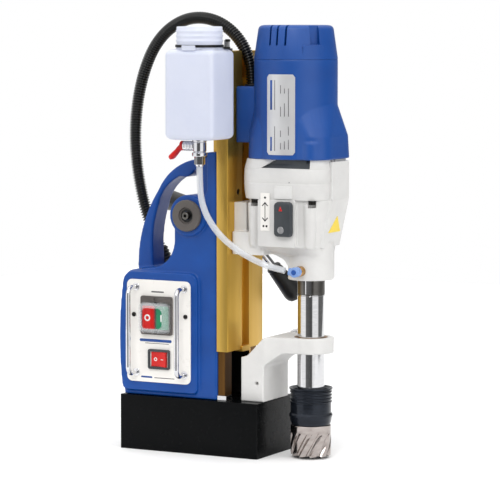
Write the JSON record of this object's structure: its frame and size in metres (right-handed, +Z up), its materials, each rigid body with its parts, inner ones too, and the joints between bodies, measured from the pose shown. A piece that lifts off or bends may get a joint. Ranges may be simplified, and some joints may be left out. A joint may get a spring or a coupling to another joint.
{
  "type": "magnetic drill press",
  "caption": "Magnet-base drill press: hollow cast stand with carrying handle, sliding motor head on a column, spindle with annular cutter, feed spokes and coolant tank.",
  "frame": {"origin": "middle of the magnet's flat underside, which grips the work", "axes": "+Z up along the spindle's travel, +X forward from the housing to the spindle, -Y the side of the control panel"},
  "size_m": [0.3212, 0.2466, 0.5509],
  "materials": {
    "black_enamel": "satin black paint",
    "copper_winding": "enamelled copper wire",
    "potting_resin": "cast epoxy",
    "blue_enamel": "satin blue powder coat",
    "blue_plastic": "moulded, fine texture",
    "white_casting": "light grey paint on a casting",
    "gold_anodised": "gold anodised, brushed",
    "bronze_anodised": "dark gold anodised",
    "ground_steel": "ground and polished",
    "hardened_steel": "oiled steel",
    "chrome_plate": "polished chrome",
    "blued_steel": "dark blue-black oxide",
    "tool_steel": "ground high speed steel",
    "white_panel": "smooth white film",
    "grey_plastic": "moulded grey",
    "clear_plastic": "clear flexible cover",
    "red_plastic": "moulded red",
    "green_plastic": "moulded green",
    "black_plastic": "moulded black",
    "dark_grey_plastic": "moulded dark grey",
    "milky_plastic": "translucent blow-moulded polyethylene",
    "brass": "turned brass",
    "bronze_bush": "sintered bronze",
    "clear_hose": "clear vinyl hose",
    "silver_label": "printed foil",
    "yellow_label": "plain yellow film",
    "circuit_board": "green laminate",
    "zinc_fastener": "zinc plated"
  },
  "bodies": {
    "base": {"magnet_body": "black_enamel", "magnet_coils": "copper_winding", "magnet_potting": "potting_resin", "housing": "blue_enamel", "feed_bushes": "bronze_bush", "control_panel": "white_panel", "guard_bars": "chrome_plate", "starter_switch_body": "grey_plastic", "starter_cover": "clear_plastic", "rocker_bezel": "black_plastic", "panel_screws": "zinc_fastener", "control_board": "circuit_board", "guide_rails": "bronze_anodised", "gib_strip": "brass", "gib_screws": "zinc_fastener", "rail_feet": "ground_steel", "support_bracket": "white_casting", "spindle_bush": "bronze_bush", "bracket_bolts": "zinc_fastener", "bush_clamp_screw": "ground_steel", "conduit_gland": "black_plastic", "conduit": "black_plastic"},
    "head": {"slide_column": "gold_anodised", "feed_rack": "hardened_steel", "gear_case": "white_casting", "gear_case_ring": "white_casting", "case_bolts": "hardened_steel", "spindle_bearings": "hardened_steel", "gear_label": "white_panel", "yellow_triangle": "yellow_label", "motor_cover": "blue_plastic", "motor_cap": "blue_plastic", "motor_stator": "hardened_steel", "motor_brushes": "hardened_steel", "motor_bearings": "hardened_steel", "rating_label": "silver_label", "wiring_box": "blue_plastic", "coolant_tank": "milky_plastic", "tank_strap": "black_plastic", "strap_clip": "zinc_fastener", "coolant_valve": "chrome_plate", "coolant_hose": "clear_hose", "hose_elbow": "brass"},
    "spindle": {"spindle": "ground_steel", "spindle_gear": "hardened_steel", "annular_cutter": "tool_steel"},
    "pilot_pin": {"pilot_pin": "hardened_steel"},
    "chuck_sleeve": {"chuck_sleeve": "blued_steel"},
    "lay_shaft": {"lay_shaft": "hardened_steel"},
    "armature": {"armature": "hardened_steel"},
    "feed_handle": {"feed_pinion_shaft": "hardened_steel", "shaft_end_disc": "grey_plastic", "feed_hub": "black_plastic", "feed_spokes": "ground_steel", "feed_grips": "black_plastic"},
    "gear_selector": {"gear_selector": "dark_grey_plastic"},
    "stop_button": {"stop_button": "red_plastic"},
    "start_button": {"start_button": "green_plastic"},
    "rocker_switch": {"rocker_switch": "red_plastic"},
    "valve_lever": {"valve_lever": "red_plastic"}
  },
  "joints": [
    {"name": "feed_slide", "type": "slide", "parent": "base", "child": "head", "axis": [0, 0, 1], "range_m": [-0.055, 0.036], "deforming": ["conduit"]},
    {"name": "feed_turn", "type": "hinge", "parent": "base", "child": "feed_handle", "pos_m": [0, 0, 0.2985], "axis": [0, 1, 0], "range_deg": [-138, 211]},
    {"name": "spindle_spin", "type": "hinge", "parent": "head", "child": "spindle", "pos_m": [0.1465, 0, 0.2], "axis": [0, 0, 1], "continuous": true},
    {"name": "lay_shaft_spin", "type": "hinge", "parent": "head", "child": "lay_shaft", "pos_m": [0.12296, 0.02241, 0.33], "axis": [0, 0, 1], "continuous": true},
    {"name": "armature_spin", "type": "hinge", "parent": "head", "child": "armature", "pos_m": [0.125, 0, 0.4], "axis": [0, 0, 1], "continuous": true},
    {"name": "sleeve_lift", "type": "slide", "parent": "spindle", "child": "chuck_sleeve", "axis": [0, 0, 1], "range_m": [0, 0.006], "stiffness_N_per_m": 2500, "springref_m": -0.004},
    {"name": "pilot_lift", "type": "slide", "parent": "spindle", "child": "pilot_pin", "axis": [0, 0, 1], "range_m": [0, 0.02], "stiffness_N_per_m": 300, "springref_m": -0.01},
    {"name": "selector_turn", "type": "hinge", "parent": "head", "child": "gear_selector", "pos_m": [0.133, -0.05, 0.2985], "axis": [0, 1, 0], "range_deg": [0, 180]},
    {"name": "stop_press", "type": "slide", "parent": "base", "child": "stop_button", "axis": [0, 1, 0], "range_m": [0, 0.003], "stiffness_N_per_m": 500, "springref_m": -0.002},
    {"name": "start_press", "type": "slide", "parent": "base", "child": "start_button", "axis": [0, 1, 0], "range_m": [0, 0.003], "stiffness_N_per_m": 500, "springref_m": -0.002},
    {"name": "rocker_tilt", "type": "hinge", "parent": "base", "child": "rocker_switch", "pos_m": [-0.0395, -0.05, 0.1165], "axis": [0, 0, 1], "range_deg": [0, 14]},
    {"name": "valve_turn", "type": "hinge", "parent": "head", "child": "valve_lever", "pos_m": [0.0125, -0.078, 0.387], "axis": [-1, 0, 0], "range_deg": [0, 90]}
  ],
  "couplings": [
    {"joint": "feed_turn", "follows": "feed_slide", "rad_per_m": -66.667},
    {"joint": "lay_shaft_spin", "follows": "spindle_spin", "ratio": -3},
    {"joint": "armature_spin", "follows": "spindle_spin", "ratio": 9}
  ]
}
